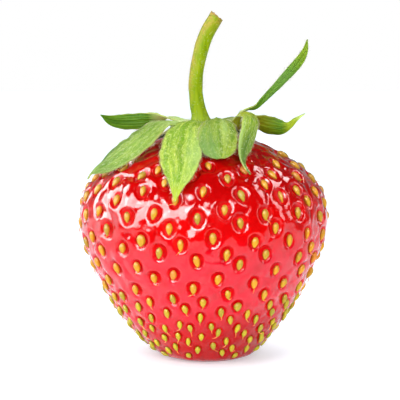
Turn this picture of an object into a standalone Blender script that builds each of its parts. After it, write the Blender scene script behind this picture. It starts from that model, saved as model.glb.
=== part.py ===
"""Strawberry: a ripe fruit standing on its blunt tip, with its leafy cap and cut stalk.

Metres, +Z up.  The origin is the centre of the small flat spot the fruit rests on.
The widest leaf gap and the broad front leaf face -Y.
"""
import math
import random

import bmesh
import bpy
from mathutils import Vector
from mathutils.geometry import interpolate_bezier

MM = 0.001

# Flesh, turned about Z: radius and height in mm, from the neck under the cap down to the foot
FLESH_PROFILE = [
    (0.0, 31.6), (2.2, 31.55), (4.3, 31.3), (6.2, 30.7), (8.3, 29.9), (10.3, 29.05), (12.2, 28.0),
    (14.1, 26.6), (15.8, 24.9), (16.95, 22.8), (17.4, 19.9), (17.2, 17.6), (16.55, 15.1),
    (15.5, 12.6), (14.1, 9.8), (12.3, 6.8), (10.2, 4.0), (8.3, 1.9), (6.8, 0.6), (5.2, 0.0),
]
PROFILE_STEPS = 1
FLESH_SIDES = 48
FLESH_DEPTH = 0.95              # front to back, against side to side
LOBE = 0.012                    # how far the section is from round
LEAN = -0.2                     # mm, the body's middle leans this far to -X
FOOT_LEAN = 0.6                 # mm, and its foot this far back to +X
FOOT_LEAN_HEIGHT = 1.6          # mm, height over which the foot's lean fades

# Seeds (achenes), set on a golden-angle spiral from the cap to the foot
SEED_TOP_SIZE = (1.03, 1.66)     # mm, width and length from the middle up
SEED_FOOT_SIZE = (0.79, 1.4)     # mm, width and length at the foot
SEED_PROUD = 0.3
SEED_SIDES = 6
SEED_TOP_GAP = 3.75             # mm between neighbours from the middle up
SEED_FOOT_GAP = 2.4             # mm between neighbours at the foot
SEED_TOP_HEIGHT = 28.6
SEED_LOW_HEIGHT = 1.3
GOLDEN_ANGLE = math.pi * (3.0 - math.sqrt(5.0))
SEED_TWIST = 0.2                # radians, random turn of each seed
SEED_JITTER = 0.52              # mm, random shift of each seed

# Disc of the cap
DISC_PROFILE = [
    (0.0, 33.15), (1.6, 33.15), (2.9, 32.95), (3.7, 32.6), (3.9, 32.2), (3.6, 31.95), (0.0, 31.95),
]
DISC_SIDES = 32
DISC_SHIFT = -0.4

# Stalk: centre line and radius in mm
STEM_LINE = [
    (-0.75, 0.0, 33.45, 1.6), (-0.8, 0.0, 34.2, 1.3), (-1.1, 0.0, 35.5, 1.1), (-1.3, 0.0, 37.5, 0.98),
    (-1.2, 0.0, 39.8, 0.95), (-0.8, 0.1, 42.0, 0.97), (-0.2, 0.2, 44.2, 1.02), (0.5, 0.2, 45.8, 1.08),
    (1.3, 0.2, 47.2, 1.14), (2.4, 0.2, 49.0, 1.16),
]
STEM_CUT_AT = (1.85, 0.2, 48.1)
STEM_CUT_FACING = (0.72, 0.1, 0.69)

# Leaves of the cap: thickness, and each one's spine from the disc to its tip as
# x, y, z in mm, half its width in mm, and its turn about the spine in degrees.
# "cup" lifts (+) or drops (-) the edges, in mm at the widest point.
LEAF_THICKNESS = 0.34
LEAF_ALONG = 16
LEAF_ACROSS = 6
LEAVES = {
    "sepal_front": dict(cup=-0.5, ripple=0.10, spine=[
        (-2.8, -4.4, 33.0, 1.6, 0), (-3.0, -5.5, 32.5, 2.2, 0), (-3.2, -6.9, 31.7, 2.6, 0),
        (-3.4, -9.0, 30.4, 2.85, 0), (-3.4, -10.8, 29.4, 2.7, 0), (-3.4, -12.3, 28.4, 2.35, 0),
        (-3.5, -13.9, 27.2, 1.75, 0), (-3.8, -15.2, 25.8, 0.9, 0), (-4.0, -16.0, 24.1, 0.16, 0)]),
    "sepal_front_right": dict(cup=-0.5, ripple=0.08, spine=[
        (1.9, -4.0, 33.3, 1.7, 0), (1.8, -5.1, 33.9, 2.2, 0), (1.7, -6.5, 33.5, 2.45, 0),
        (1.7, -7.8, 32.5, 2.6, 0), (1.8, -9.2, 31.3, 2.5, 0), (1.95, -10.2, 30.4, 2.05, 0),
        (2.05, -10.9, 29.7, 1.3, 0), (2.1, -11.2, 29.3, 0.7, 0)]),
    "sepal_folded": dict(cup=-0.25, ripple=0.06, spine=[
        (4.1, -2.2, 33.0, 1.0, 0), (4.5, -3.3, 34.1, 1.2, 0), (5.5, -4.6, 34.8, 1.25, 0),
        (6.3, -5.7, 34.3, 1.2, 0), (6.2, -6.5, 33.1, 1.2, 0), (5.8, -7.6, 31.7, 1.15, 0),
        (5.4, -9.0, 30.6, 0.95, 0), (5.1, -10.3, 29.6, 0.6, 0), (5.2, -11.6, 28.6, 0.35, 0),
        (6.0, -13.0, 27.3, 0.14, 0)]),
    "sepal_upright": dict(cup=0.12, ripple=0.03, spine=[
        (4.3, -0.5, 33.3, 0.9, 0), (5.0, -0.4, 34.3, 0.75, 0), (6.1, -0.2, 34.8, 0.55, -10),
        (7.1, 0.0, 35.1, 0.4, -40), (7.9, 0.2, 35.9, 0.42, -75), (10.0, 0.6, 38.0, 0.68, -80),
        (11.7, 1.0, 39.8, 0.8, -80), (12.8, 1.3, 41.0, 0.8, -80), (13.8, 1.6, 42.5, 0.58, -80),
        (14.3, 2.0, 44.4, 0.14, -80)]),
    "sepal_cupped": dict(cup=0.35, ripple=0.06, spine=[
        (3.8, 2.4, 32.9, 0.8, 0), (6.1, 3.0, 33.0, 0.9, -30), (8.0, 3.4, 32.4, 1.2, -65),
        (9.5, 3.5, 32.0, 1.3, -75), (10.9, 3.4, 31.9, 1.0, -75), (11.8, 3.2, 32.2, 0.65, -75),
        (12.7, 3.1, 33.0, 0.45, -75), (14.1, 3.0, 33.9, 0.14, -75)]),
    "sepal_left": dict(cup=-0.3, ripple=0.06, spine=[
        (-4.4, -1.9, 33.1, 1.2, 0), (-6.2, -3.3, 33.2, 1.4, -8), (-7.6, -4.7, 32.4, 1.6, -16),
        (-9.3, -6.0, 31.0, 1.7, -22), (-11.8, -6.5, 29.2, 1.65, -24), (-13.6, -6.0, 27.8, 1.2, -20),
        (-15.1, -5.0, 26.8, 0.5, -10), (-16.1, -4.6, 25.7, 0.14, 0)]),
    "sepal_back_left": dict(cup=0.15, ripple=0.06, spine=[
        (-4.3, 1.5, 33.0, 1.2, 0), (-5.6, 2.2, 33.3, 1.2, 10), (-7.2, 2.9, 33.1, 1.15, 45),
        (-9.0, 3.4, 32.8, 1.1, 78), (-11.1, 3.5, 32.7, 1.1, 82), (-13.1, 3.3, 32.9, 0.75, 82),
        (-14.7, 3.0, 33.7, 0.14, 82)]),
    "sepal_back_a": dict(cup=-0.35, ripple=0.08, spine=[
        (-2.9, 3.9, 32.3, 1.3, 0), (-4.0, 5.4, 31.6, 1.7, 0), (-5.6, 7.6, 30.2, 1.9, 0),
        (-7.0, 9.6, 28.9, 1.8, 0), (-8.1, 11.3, 27.3, 1.2, 0), (-8.8, 12.5, 25.9, 0.14, 0)]),
    "sepal_back_b": dict(cup=-0.4, ripple=0.08, spine=[
        (-0.4, 4.4, 32.3, 1.2, 0), (-0.1, 6.1, 31.6, 1.6, 0), (0.3, 8.6, 30.5, 2.0, 0),
        (0.5, 11.0, 29.3, 1.9, 0), (0.4, 13.2, 27.7, 1.2, 0), (0.2, 14.8, 26.0, 0.14, 0)]),
    "sepal_back_c": dict(cup=-0.3, ripple=0.08, spine=[
        (2.6, 4.0, 32.2, 1.0, 0), (3.8, 5.5, 31.5, 1.4, 0), (5.5, 7.8, 30.1, 1.7, 0),
        (7.2, 9.7, 28.7, 1.6, 0), (8.5, 11.3, 27.1, 1.0, 0), (9.5, 12.4, 25.4, 0.14, 0)]),
}


def material(name, colour, roughness):
    """A plain Principled material."""
    mat = bpy.data.materials.new(name)
    mat.use_nodes = True
    shader = mat.node_tree.nodes["Principled BSDF"]
    shader.inputs["Base Color"].default_value = (*colour, 1.0)
    shader.inputs["Roughness"].default_value = roughness
    shader.inputs["Metallic"].default_value = 0.0
    mat.diffuse_color = (*colour, 1.0)
    return mat


def add_object(name, data, collection, mat=None):
    """Link an object made from mesh or curve data, with its material."""
    obj = bpy.data.objects.new(name, data)
    collection.objects.link(obj)
    if mat:
        data.materials.append(mat)
    return obj


def apply_modifiers(obj):
    """Replace an object's mesh by its evaluated one."""
    graph = bpy.context.evaluated_depsgraph_get()
    mesh = bpy.data.meshes.new_from_object(obj.evaluated_get(graph))
    old = obj.data
    obj.modifiers.clear()
    obj.data = mesh
    bpy.data.meshes.remove(old)
    return obj


def smooth_line(points, steps):
    """Points of a smooth Bezier line through the given ones, with automatic handles."""
    points = [Vector(p) for p in points]
    line = []
    for i in range(len(points) - 1):
        before = points[max(i - 1, 0)]
        start, end = points[i], points[i + 1]
        after = points[min(i + 2, len(points) - 1)]
        reach = (end - start).length / 3.0
        leave = start + (end - before).normalized() * reach
        arrive = end - (after - start).normalized() * reach
        line.extend(interpolate_bezier(start, leave, arrive, end, steps + 1)[:-1])
    line.append(points[-1])
    return line


def profile_mesh(name, line):
    """Open outline in the XZ plane, radius along X."""
    mesh = bpy.data.meshes.new(name)
    verts = [(r * MM, 0.0, z * MM) for r, z in line]
    mesh.from_pydata(verts, [(i, i + 1) for i in range(len(verts) - 1)], [])
    return mesh


def turned(name, line, sides, collection, mat):
    """A solid turned about Z from an outline that starts and ends on the axis."""
    obj = add_object(name, profile_mesh(name, line), collection, mat)
    screw = obj.modifiers.new("turn", "SCREW")
    screw.steps = sides
    screw.render_steps = sides
    screw.use_merge_vertices = True
    screw.merge_threshold = 0.00001
    apply_modifiers(obj)
    obj.data.shade_smooth()
    return obj


def flesh_line():
    """The flesh's smoothed outline as (radius, height) in mm, foot last."""
    line = [(p.x, p.z) for p in smooth_line([(r, 0.0, z) for r, z in FLESH_PROFILE], PROFILE_STEPS)]
    return [(max(r, 0.0), max(z, 0.0)) for r, z in line] + [(0.0, 0.0)]


def flesh_place(radius, angle, height):
    """A point of the flesh from its turned place, all in mm: lobed, flattened and leaning."""
    lobed = radius * (1.0 + LOBE * math.sin(2.0 * angle) * abs(math.sin(angle)))
    lean = LEAN + FOOT_LEAN * math.exp(-height / FOOT_LEAN_HEIGHT)
    fade = min(1.0, max(0.0, (31.5 - height) / 6.0))
    return Vector((
        lobed * math.cos(angle) + lean * fade,
        lobed * math.sin(angle) * FLESH_DEPTH,
        height,
    ))


def ripeness(height):
    """0 at the crowded foot, 1 from the middle of the fruit upwards."""
    share = min(1.0, max(0.0, (height - 5.5) / 8.0))
    return share * share * (3.0 - 2.0 * share)


def seed_places(line):
    """Places down the skin on a loose golden-angle spiral, closer towards the foot.

    Each is (radius, angle, height, twist) in mm and radians.
    """
    rng = random.Random(7)
    places = []
    filled = 0.0
    for (r0, z0), (r1, z1) in zip(line, line[1:]):
        pieces = 200
        length = math.hypot(r1 - r0, z1 - z0)
        for k in range(pieces):
            part = (k + 0.5) / pieces
            radius = r0 + (r1 - r0) * part
            height = z0 + (z1 - z0) * part
            if not SEED_LOW_HEIGHT < height < SEED_TOP_HEIGHT:
                continue
            gap = SEED_FOOT_GAP + (SEED_TOP_GAP - SEED_FOOT_GAP) * ripeness(height)
            before = math.floor(filled)
            filled += math.tau * radius * length / pieces / (gap * gap * 0.866)
            if math.floor(filled) > before:
                loose = SEED_JITTER * gap / SEED_TOP_GAP
                angle = len(places) * GOLDEN_ANGLE + rng.uniform(-1, 1) * loose / radius
                slip = rng.uniform(-1, 1) * loose * min(1.0, (height - SEED_LOW_HEIGHT) / 2.0) / length
                places.append((radius + (r1 - r0) * slip, angle, height + (z1 - z0) * slip,
                               rng.uniform(-1, 1) * SEED_TWIST))
    return places


def add_seeds(flesh, line):
    """Raise the seeds on the flesh: one low tapered stud at each place, joined to it."""
    bm = bmesh.new()
    for radius, angle, height, twist in seed_places(line):
        centre = flesh_place(radius, angle, height)
        up_skin = flesh_place(*slide(line, radius, angle, height, 0.4)) - centre
        round_skin = flesh_place(radius, angle + 0.03, height) - centre
        normal = round_skin.cross(up_skin).normalized()
        up_skin = (up_skin - normal * up_skin.dot(normal)).normalized()
        side = up_skin.cross(normal)
        along = up_skin * math.cos(twist) + side * math.sin(twist)
        side = along.cross(normal)
        width, length = (
            low + (high - low) * ripeness(height) for low, high in zip(SEED_FOOT_SIZE, SEED_TOP_SIZE))
        made = bmesh.ops.create_cone(
            bm, cap_ends=True, segments=SEED_SIDES, radius1=1.0, radius2=0.45, depth=2.0)
        for vert in made["verts"]:
            across, up, out = vert.co
            place = centre + side * across * width / 2.0
            place += normal * out * SEED_PROUD
            place += along * up * length / 2.0
            vert.co = place * MM
        bmesh.ops.recalc_face_normals(bm, faces=list({f for v in made["verts"] for f in v.link_faces}))
    mesh = bpy.data.meshes.new("seed_cutter")
    bm.to_mesh(mesh)
    bm.free()
    cutter = add_object("seed_cutter", mesh, guides)
    cutter.display_type = "WIRE"
    cutter.hide_render = True
    union = flesh.modifiers.new("seeds", "BOOLEAN")
    union.operation = "UNION"
    union.object = cutter
    apply_modifiers(flesh)


def slide(line, radius, angle, height, step):
    """The place a little further up the skin."""
    for (r0, z0), (r1, z1) in zip(line, line[1:]):
        if z1 <= height <= z0:
            run = Vector((r0 - r1, z0 - z1)).normalized() * step
            return radius + run.x, angle, height + run.y
    return radius, angle, height + step


def leaf(name, cup, ripple, spine, collection, mat):
    """A leaf: a flat strip of its outline, bent along its spine and given thickness."""
    bpy.ops.mesh.primitive_grid_add(x_subdivisions=LEAF_ALONG, y_subdivisions=LEAF_ACROSS, size=1.0)
    obj = bpy.context.object
    obj.name = name
    for other in list(obj.users_collection):
        other.objects.unlink(obj)
    collection.objects.link(obj)
    obj.data.name = name
    obj.data.materials.append(mat)

    marks = [Vector(p[:3]) for p in spine]
    reach = [0.0]
    for a, b in zip(marks, marks[1:]):
        reach.append(reach[-1] + (b - a).length)
    line = smooth_line([(d, w, 0.0) for d, w in zip(reach, (p[3] for p in spine))], 8)
    widest = max(p[3] for p in spine)
    for vert in obj.data.vertices:
        along = (vert.co.x + 0.5) * reach[-1]
        half = next(
            a.y + (b.y - a.y) * (along - a.x) / max(b.x - a.x, 1e-9)
            for a, b in zip(line, line[1:]) if along <= b.x + 1e-6
        )
        across = vert.co.y * 2.0
        edge = abs(across) ** 3 * ripple * half / widest * math.sin(along * 2.3 + across)
        vert.co.x = along * MM
        vert.co.y = across * half * MM
        vert.co.z = (cup * across * across * (half / widest) ** 2 + edge) * MM

    curve = bpy.data.curves.new(name + "_spine", "CURVE")
    curve.dimensions = "3D"
    curve.twist_mode = "MINIMUM"
    curve.resolution_u = 16
    curve.use_stretch = True
    curve.use_deform_bounds = True
    curve.use_radius = False
    spline = curve.splines.new("BEZIER")
    spline.bezier_points.add(len(spine) - 1)
    for point, (x, y, z, _, turn) in zip(spline.bezier_points, spine):
        point.co = (x * MM, y * MM, z * MM)
        point.handle_left_type = "AUTO"
        point.handle_right_type = "AUTO"
        point.tilt = math.radians(turn)
    guide = add_object(name + "_spine", curve, guides)
    guide.display_type = "WIRE"
    guide.hide_render = True

    bend = obj.modifiers.new("bend", "CURVE")
    bend.object = guide
    bend.deform_axis = "POS_X"
    thick = obj.modifiers.new("thickness", "SOLIDIFY")
    thick.thickness = LEAF_THICKNESS * MM
    thick.offset = 0.0
    apply_modifiers(obj)
    obj.data.shade_smooth()
    return obj


def stem(collection, mat):
    """The stalk: a bevelled curve, cut off aslant at its top."""
    curve = bpy.data.curves.new("stem_line", "CURVE")
    curve.dimensions = "3D"
    curve.bevel_depth = MM
    curve.bevel_resolution = 4
    curve.resolution_u = 3
    curve.use_fill_caps = True
    spline = curve.splines.new("BEZIER")
    spline.bezier_points.add(len(STEM_LINE) - 1)
    for point, (x, y, z, radius) in zip(spline.bezier_points, STEM_LINE):
        point.co = (x * MM, y * MM, z * MM)
        point.radius = radius
        point.handle_left_type = "AUTO"
        point.handle_right_type = "AUTO"
    line = add_object("stem_line", curve, guides)
    graph = bpy.context.evaluated_depsgraph_get()
    mesh = bpy.data.meshes.new_from_object(line.evaluated_get(graph))
    bpy.data.objects.remove(line)
    bm = bmesh.new()
    bm.from_mesh(mesh)
    bmesh.ops.remove_doubles(bm, verts=bm.verts, dist=0.000005)
    cut = bmesh.ops.bisect_plane(
        bm, geom=bm.verts[:] + bm.edges[:] + bm.faces[:], dist=0.0000001,
        plane_co=Vector(STEM_CUT_AT) * MM, plane_no=STEM_CUT_FACING, clear_outer=True)
    rim = [e for e in cut["geom_cut"] if isinstance(e, bmesh.types.BMEdge)]
    bmesh.ops.edgeloop_fill(bm, edges=rim)
    bmesh.ops.recalc_face_normals(bm, faces=bm.faces)
    bm.to_mesh(mesh)
    bm.free()
    obj = add_object("stem", mesh, collection)
    mesh.materials.clear()
    mesh.materials.append(mat)
    mesh.shade_smooth()
    mesh.set_sharp_from_angle(angle=math.radians(50.0))
    return obj


for old in list(bpy.data.objects):
    bpy.data.objects.remove(old, do_unlink=True)
parts = bpy.data.collections.new("strawberry")
guides = bpy.data.collections.new("guides")
bpy.context.scene.collection.children.link(parts)
bpy.context.scene.collection.children.link(guides)

outline = flesh_line()
body = turned("flesh", outline, FLESH_SIDES, parts, material("flesh_red", (0.78, 0.008, 0.010), 0.22))
for v in body.data.vertices:
    turned_radius = math.hypot(v.co.x, v.co.y) / MM
    v.co = flesh_place(turned_radius, math.atan2(v.co.y, v.co.x), v.co.z / MM) * MM
add_seeds(body, outline)

disc = turned("calyx_disc", DISC_PROFILE, DISC_SIDES, parts, material("disc_green", (0.30, 0.42, 0.09), 0.6))
for v in disc.data.vertices:
    v.co.x += DISC_SHIFT * MM
stem(parts, material("stem_green", (0.36, 0.46, 0.05), 0.5))
leaf_green = material("leaf_green", (0.16, 0.33, 0.06), 0.55)
for leaf_name, shape in LEAVES.items():
    leaf(leaf_name, shape["cup"], shape["ripple"], shape["spine"], parts, leaf_green)
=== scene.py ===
"""A ripe strawberry standing on its blunt tip: glossy pitted flesh, seeds with their dried styles,
a hairy leafy cap and a cut stalk.  Metres, +Z up; lengths named below are in millimetres unless said.
"""
import math
import random

import bmesh
import bpy
import numpy as np
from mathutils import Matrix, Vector, noise
from mathutils.geometry import interpolate_bezier


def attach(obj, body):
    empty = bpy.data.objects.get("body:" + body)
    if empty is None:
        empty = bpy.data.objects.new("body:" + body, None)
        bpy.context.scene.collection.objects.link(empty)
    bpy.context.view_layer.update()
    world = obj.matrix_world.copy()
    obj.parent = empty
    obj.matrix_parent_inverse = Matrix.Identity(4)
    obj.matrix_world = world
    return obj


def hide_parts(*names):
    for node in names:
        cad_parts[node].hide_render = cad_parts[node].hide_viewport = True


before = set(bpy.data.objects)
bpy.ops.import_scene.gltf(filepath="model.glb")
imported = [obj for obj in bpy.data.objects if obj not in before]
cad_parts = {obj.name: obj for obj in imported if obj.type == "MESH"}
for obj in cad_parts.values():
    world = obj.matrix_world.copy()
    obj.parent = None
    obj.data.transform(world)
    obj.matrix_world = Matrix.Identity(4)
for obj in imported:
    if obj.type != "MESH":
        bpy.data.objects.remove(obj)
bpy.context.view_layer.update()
MM = 0.001

# ---------------------------------------------------------------- shape of the fruit

# Flesh, turned about Z: radius and height, from the neck under the cap down to the foot
FLESH_PROFILE = [
    (0.0, 31.6), (2.2, 31.55), (4.3, 31.3), (6.2, 30.7), (8.3, 29.9), (10.3, 29.05), (12.2, 28.0),
    (14.1, 26.6), (15.8, 24.9), (16.95, 22.8), (17.4, 19.9), (17.2, 17.6), (16.55, 15.1),
    (15.5, 12.6), (14.1, 9.8), (12.3, 6.8), (10.2, 4.0), (8.3, 1.9), (6.8, 0.6), (5.2, 0.0),
]
FLESH_DEPTH = 0.95          # front to back, against its width
LOBE = 0.012                # how far the front lobes swell, against the radius
LEAN = -0.2                 # sideways lean of the body below the shoulders
LEAN_TOP = 31.5             # no lean at the neck
LEAN_FULL = 25.5            # full lean from here down
FOOT_LEAN = 0.6             # extra lean at the very foot, dying away upwards
FOOT_LEAN_HEIGHT = 1.6
SKIN_SIDES = 460                # faces round it and down it
SKIN_RINGS = 206

# Seeds on a golden-angle spiral, shaken loose: crowded at the foot, spread out from the middle upwards
CROWDED_BELOW = 5.5
SPREAD_ABOVE = 13.5
SEED_TOP_GAP = 3.75
SEED_FOOT_GAP = 2.4
SEED_TOP_HEIGHT = 28.6
SEED_LOW_HEIGHT = 0.8
GOLDEN_ANGLE = math.pi * (3.0 - math.sqrt(5.0))
SEED_TWIST = 0.2
SEED_JITTER = 0.52
SLIP_RISE = 2.0             # the lowest seeds slip less along the skin, up to this far above the first
LINE_PIECES = 200           # fine steps of each stretch of the outline
TRIANGLE_SHARE = 0.866      # area that a seed takes, against its gap squared


def near(value, reach):
    """1 where the value is 0, falling to 0 at the given reach."""
    return np.clip(1.0 - np.abs(value) / reach, 0.0, 1.0)


def rise(value, low, high):
    """0 at low, 1 at high."""
    return np.clip((value - low) / (high - low), 0.0, 1.0)


def fall(value, low, high):
    """1 at low, 0 at high."""
    return rise(-value, -high, -low)


def eased(share):
    """0 to 1 with a soft start and end."""
    return share * share * (3.0 - 2.0 * share)


def unit(vectors):
    """The same directions, one long."""
    return vectors / np.maximum(np.linalg.norm(vectors, axis=-1, keepdims=True), 1e-9)


def clouds(*places):
    """Smooth noise at each place, from its x, y and z."""
    return np.array([noise.noise(Vector(place)) for place in zip(*np.broadcast_arrays(*places))])


def smooth_line(points, steps):
    """Points of a smooth Bezier line through the given ones, with automatic handles."""
    points = [Vector(p) for p in points]
    line = []
    for i in range(len(points) - 1):
        before = points[max(i - 1, 0)]
        start, end = points[i], points[i + 1]
        after = points[min(i + 2, len(points) - 1)]
        reach = (end - start).length / 3.0
        leave = start + (end - before).normalized() * reach
        arrive = end - (after - start).normalized() * reach
        line.extend(interpolate_bezier(start, leave, arrive, end, steps + 1)[:-1])
    line.append(points[-1])
    return line


def flesh_place(radius, angle, height):
    """Points of the flesh from their turned places, in mm: lobed, flattened and leaning."""
    lobed = radius * (1.0 + LOBE * np.sin(2.0 * angle) * np.abs(np.sin(angle)))
    lean = LEAN + FOOT_LEAN * np.exp(-height / FOOT_LEAN_HEIGHT)
    fade = fall(height, LEAN_FULL, LEAN_TOP)
    return np.stack([
        lobed * np.cos(angle) + lean * fade,
        lobed * np.sin(angle) * FLESH_DEPTH,
        height * np.ones_like(lobed),
    ], axis=-1)


def ripeness(height):
    """0 at the crowded green foot, 1 from the middle of the fruit upwards."""
    return eased(rise(height, CROWDED_BELOW, SPREAD_ABOVE))


def seed_places(line):
    """Places down the skin on a loose golden-angle spiral, closer towards the foot.

    Each is its radius, angle, height and twist.
    """
    rng = random.Random(7)
    places = []
    filled = 0.0
    for (r0, z0), (r1, z1) in zip(line, line[1:]):
        length = math.hypot(r1 - r0, z1 - z0)
        for k in range(LINE_PIECES):
            part = (k + 0.5) / LINE_PIECES
            radius = r0 + (r1 - r0) * part
            height = z0 + (z1 - z0) * part
            if not SEED_LOW_HEIGHT < height < SEED_TOP_HEIGHT:
                continue
            gap = SEED_FOOT_GAP + (SEED_TOP_GAP - SEED_FOOT_GAP) * ripeness(height)
            before = math.floor(filled)
            filled += math.tau * radius * length / LINE_PIECES / (gap * gap * TRIANGLE_SHARE)
            if math.floor(filled) > before:
                loose = SEED_JITTER * gap / SEED_TOP_GAP
                angle = len(places) * GOLDEN_ANGLE + rng.uniform(-1, 1) * loose / radius
                slip = rng.uniform(-1, 1) * loose * min(1.0, (height - SEED_LOW_HEIGHT) / SLIP_RISE) / length
                places.append((radius + (r1 - r0) * slip, angle, height + (z1 - z0) * slip,
                               rng.uniform(-1, 1) * SEED_TWIST))
    return places


coarse_line = [(p.x, p.z) for p in smooth_line([(r, 0.0, z) for r, z in FLESH_PROFILE], 1)]
fine_line = [(p.x, p.z) for p in smooth_line([(r, 0.0, z) for r, z in FLESH_PROFILE], 12)]
fine_line.append((0.0, 0.0))
LINE_R = np.array([max(r, 0.0) for r, z in fine_line])
LINE_Z = np.array([max(z, 0.0) for r, z in fine_line])
LINE_S = np.concatenate([[0.0], np.cumsum(np.hypot(np.diff(LINE_R), np.diff(LINE_Z)))])


def seed_frames():
    """Every seed's centre on the smooth skin, its outward, upward and sideways directions, and its dice."""
    frames = []
    rng = random.Random(21)
    for radius, angle, height, twist in seed_places(coarse_line):
        at = np.argmin((LINE_R - radius) ** 2 + (LINE_Z - height) ** 2)
        at = min(max(at, 1), len(LINE_R) - 2)
        radius, height = LINE_R[at], LINE_Z[at]
        centre = flesh_place(radius, angle, height)
        above = flesh_place(LINE_R[at - 1], angle, LINE_Z[at - 1])
        up = above - flesh_place(LINE_R[at + 1], angle, LINE_Z[at + 1])
        around = flesh_place(radius, angle + 0.02, height) - flesh_place(radius, angle - 0.02, height)
        out = unit(np.cross(around, up))
        up = unit(up - out * up.dot(out))
        along = up * math.cos(twist) + np.cross(up, out) * math.sin(twist)
        frames.append(dict(
            centre=centre, out=out, up=along, side=np.cross(along, out), height=float(height),
            share=ripeness(float(height)), dice=[rng.random() for _ in range(7)]))
    return frames


SEEDS = seed_frames()


def seed_size(seed):
    """Length, width and thickness of a seed: longer and plumper towards the cap, a few thin or wide."""
    share = seed["share"]
    length = (1.38 + 0.28 * share) * (0.90 + 0.18 * seed["dice"][0])
    width = (0.78 + 0.18 * share) * (0.90 + 0.18 * seed["dice"][1])
    if seed["dice"][6] > 0.97:
        width *= 0.55
    elif seed["dice"][6] < 0.02:
        width *= 1.5
    return length, width, 0.66 + 0.24 * share


def pit_size(seed):
    """Half width, half length and depth of a seed's pit: wide and deep near the cap, faint at the foot."""
    share = seed["share"]
    loose = 0.92 + 0.16 * seed["dice"][2]
    return (0.64 + 0.34 * share) * loose, (0.94 + 0.28 * share) * loose, 0.19 + 0.31 * share


# ---------------------------------------------------------------- node maths and finishes


class Value:
    """A number that varies over a surface: arithmetic on it adds Math nodes."""

    def __init__(self, finish, socket):
        self.finish = finish
        self.socket = socket

    def math(self, operation, *others):
        """What a Math node makes of this and the others."""
        made = self.finish.node("Math", {"operation": operation})
        for slot, item in zip(made.inputs, (self, *others)):
            self.finish.feed(slot, item)
        return Value(self.finish, made.outputs[0])

    def __add__(self, other):
        return self.math("ADD", other)

    def __mul__(self, other):
        return self.math("MULTIPLY", other)

    def __sub__(self, other):
        return self.math("SUBTRACT", other)

    def __truediv__(self, other):
        return self.math("DIVIDE", other)

    def __rsub__(self, other):
        return (self * -1.0) + other

    __radd__ = __add__
    __rmul__ = __mul__

    def between(self, low, high):
        """0 at low, 1 at high, smooth between them."""
        made = self.finish.node("MapRange", {"interpolation_type": "SMOOTHSTEP"},
                                {"Value": self, "From Min": low, "From Max": high})
        return Value(self.finish, made.outputs[0])


class Finish:
    """A procedural material on a Principled shader; an underscore in a socket's name stands for a space."""

    def __init__(self, name, **constants):
        self.material = bpy.data.materials.new(name)
        self.material.use_nodes = True
        self.tree = self.material.node_tree
        self.tree.nodes.clear()
        self.shader = self.node("BsdfPrincipled")
        end = self.node("OutputMaterial")
        self.tree.links.new(self.shader.outputs[0], end.inputs["Surface"])
        for socket, value in constants.items():
            self.shader.inputs[socket.replace("_", " ")].default_value = value
        self.place = self.node("TexCoord").outputs["Object"]

    def feed(self, socket, item):
        """Link a value or another socket into a socket, or set a constant on it."""
        if isinstance(item, Value):
            item = item.socket
        if isinstance(item, bpy.types.NodeSocket):
            self.tree.links.new(item, socket)
        else:
            socket.default_value = item

    def node(self, kind, settings=None, sockets=None):
        """A shader node of a kind, with its settings and what goes into its sockets."""
        made = self.tree.nodes.new("ShaderNode" + kind)
        for name, value in (settings or {}).items():
            setattr(made, name, value)
        for name, item in (sockets or {}).items():
            self.feed(made.inputs[name], item)
        return made

    def noise(self, size, detail, rough, stretch=None):
        """Cloudy noise whose blotches are about the given size in mm."""
        place = self.place
        if stretch:
            place = self.node("Mapping", None, {"Vector": place, "Scale": stretch}).outputs[0]
        made = self.node("TexNoise", None, {
            "Vector": place, "Scale": 1.0 / (size * MM), "Detail": detail, "Roughness": rough})
        return Value(self, made.outputs[0])

    def attribute(self, name):
        """A number kept on the piece's points."""
        return Value(self, self.node("Attribute", {"attribute_name": name}).outputs["Fac"])

    def mix(self, factor, first, second):
        """The first colour where the factor is 0, the second where it is 1."""
        first, second = ((*item, 1.0) if isinstance(item, tuple) else item for item in (first, second))
        made = self.node("Mix", {"data_type": "RGBA"}, {0: factor, 6: first, 7: second})
        return made.outputs[2]

    def layers(self, colour, *others):
        """A colour with others laid over it in turn, each given with its factor."""
        for factor, other in others:
            colour = self.mix(factor, colour, other)
        return colour

    def bump(self, height, distance, strength, before=None):
        """A bump of the given distance in mm, over the one before it."""
        sockets = {"Height": height, "Distance": distance * MM, "Strength": strength}
        if before is not None:
            sockets["Normal"] = before
        return self.node("Bump", None, sockets).outputs[0]

    def finish(self, **sockets):
        """The material, once these go into its shader."""
        for socket, item in sockets.items():
            self.feed(self.shader.inputs[socket.replace("_", " ")], item)
        return self.material


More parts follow.
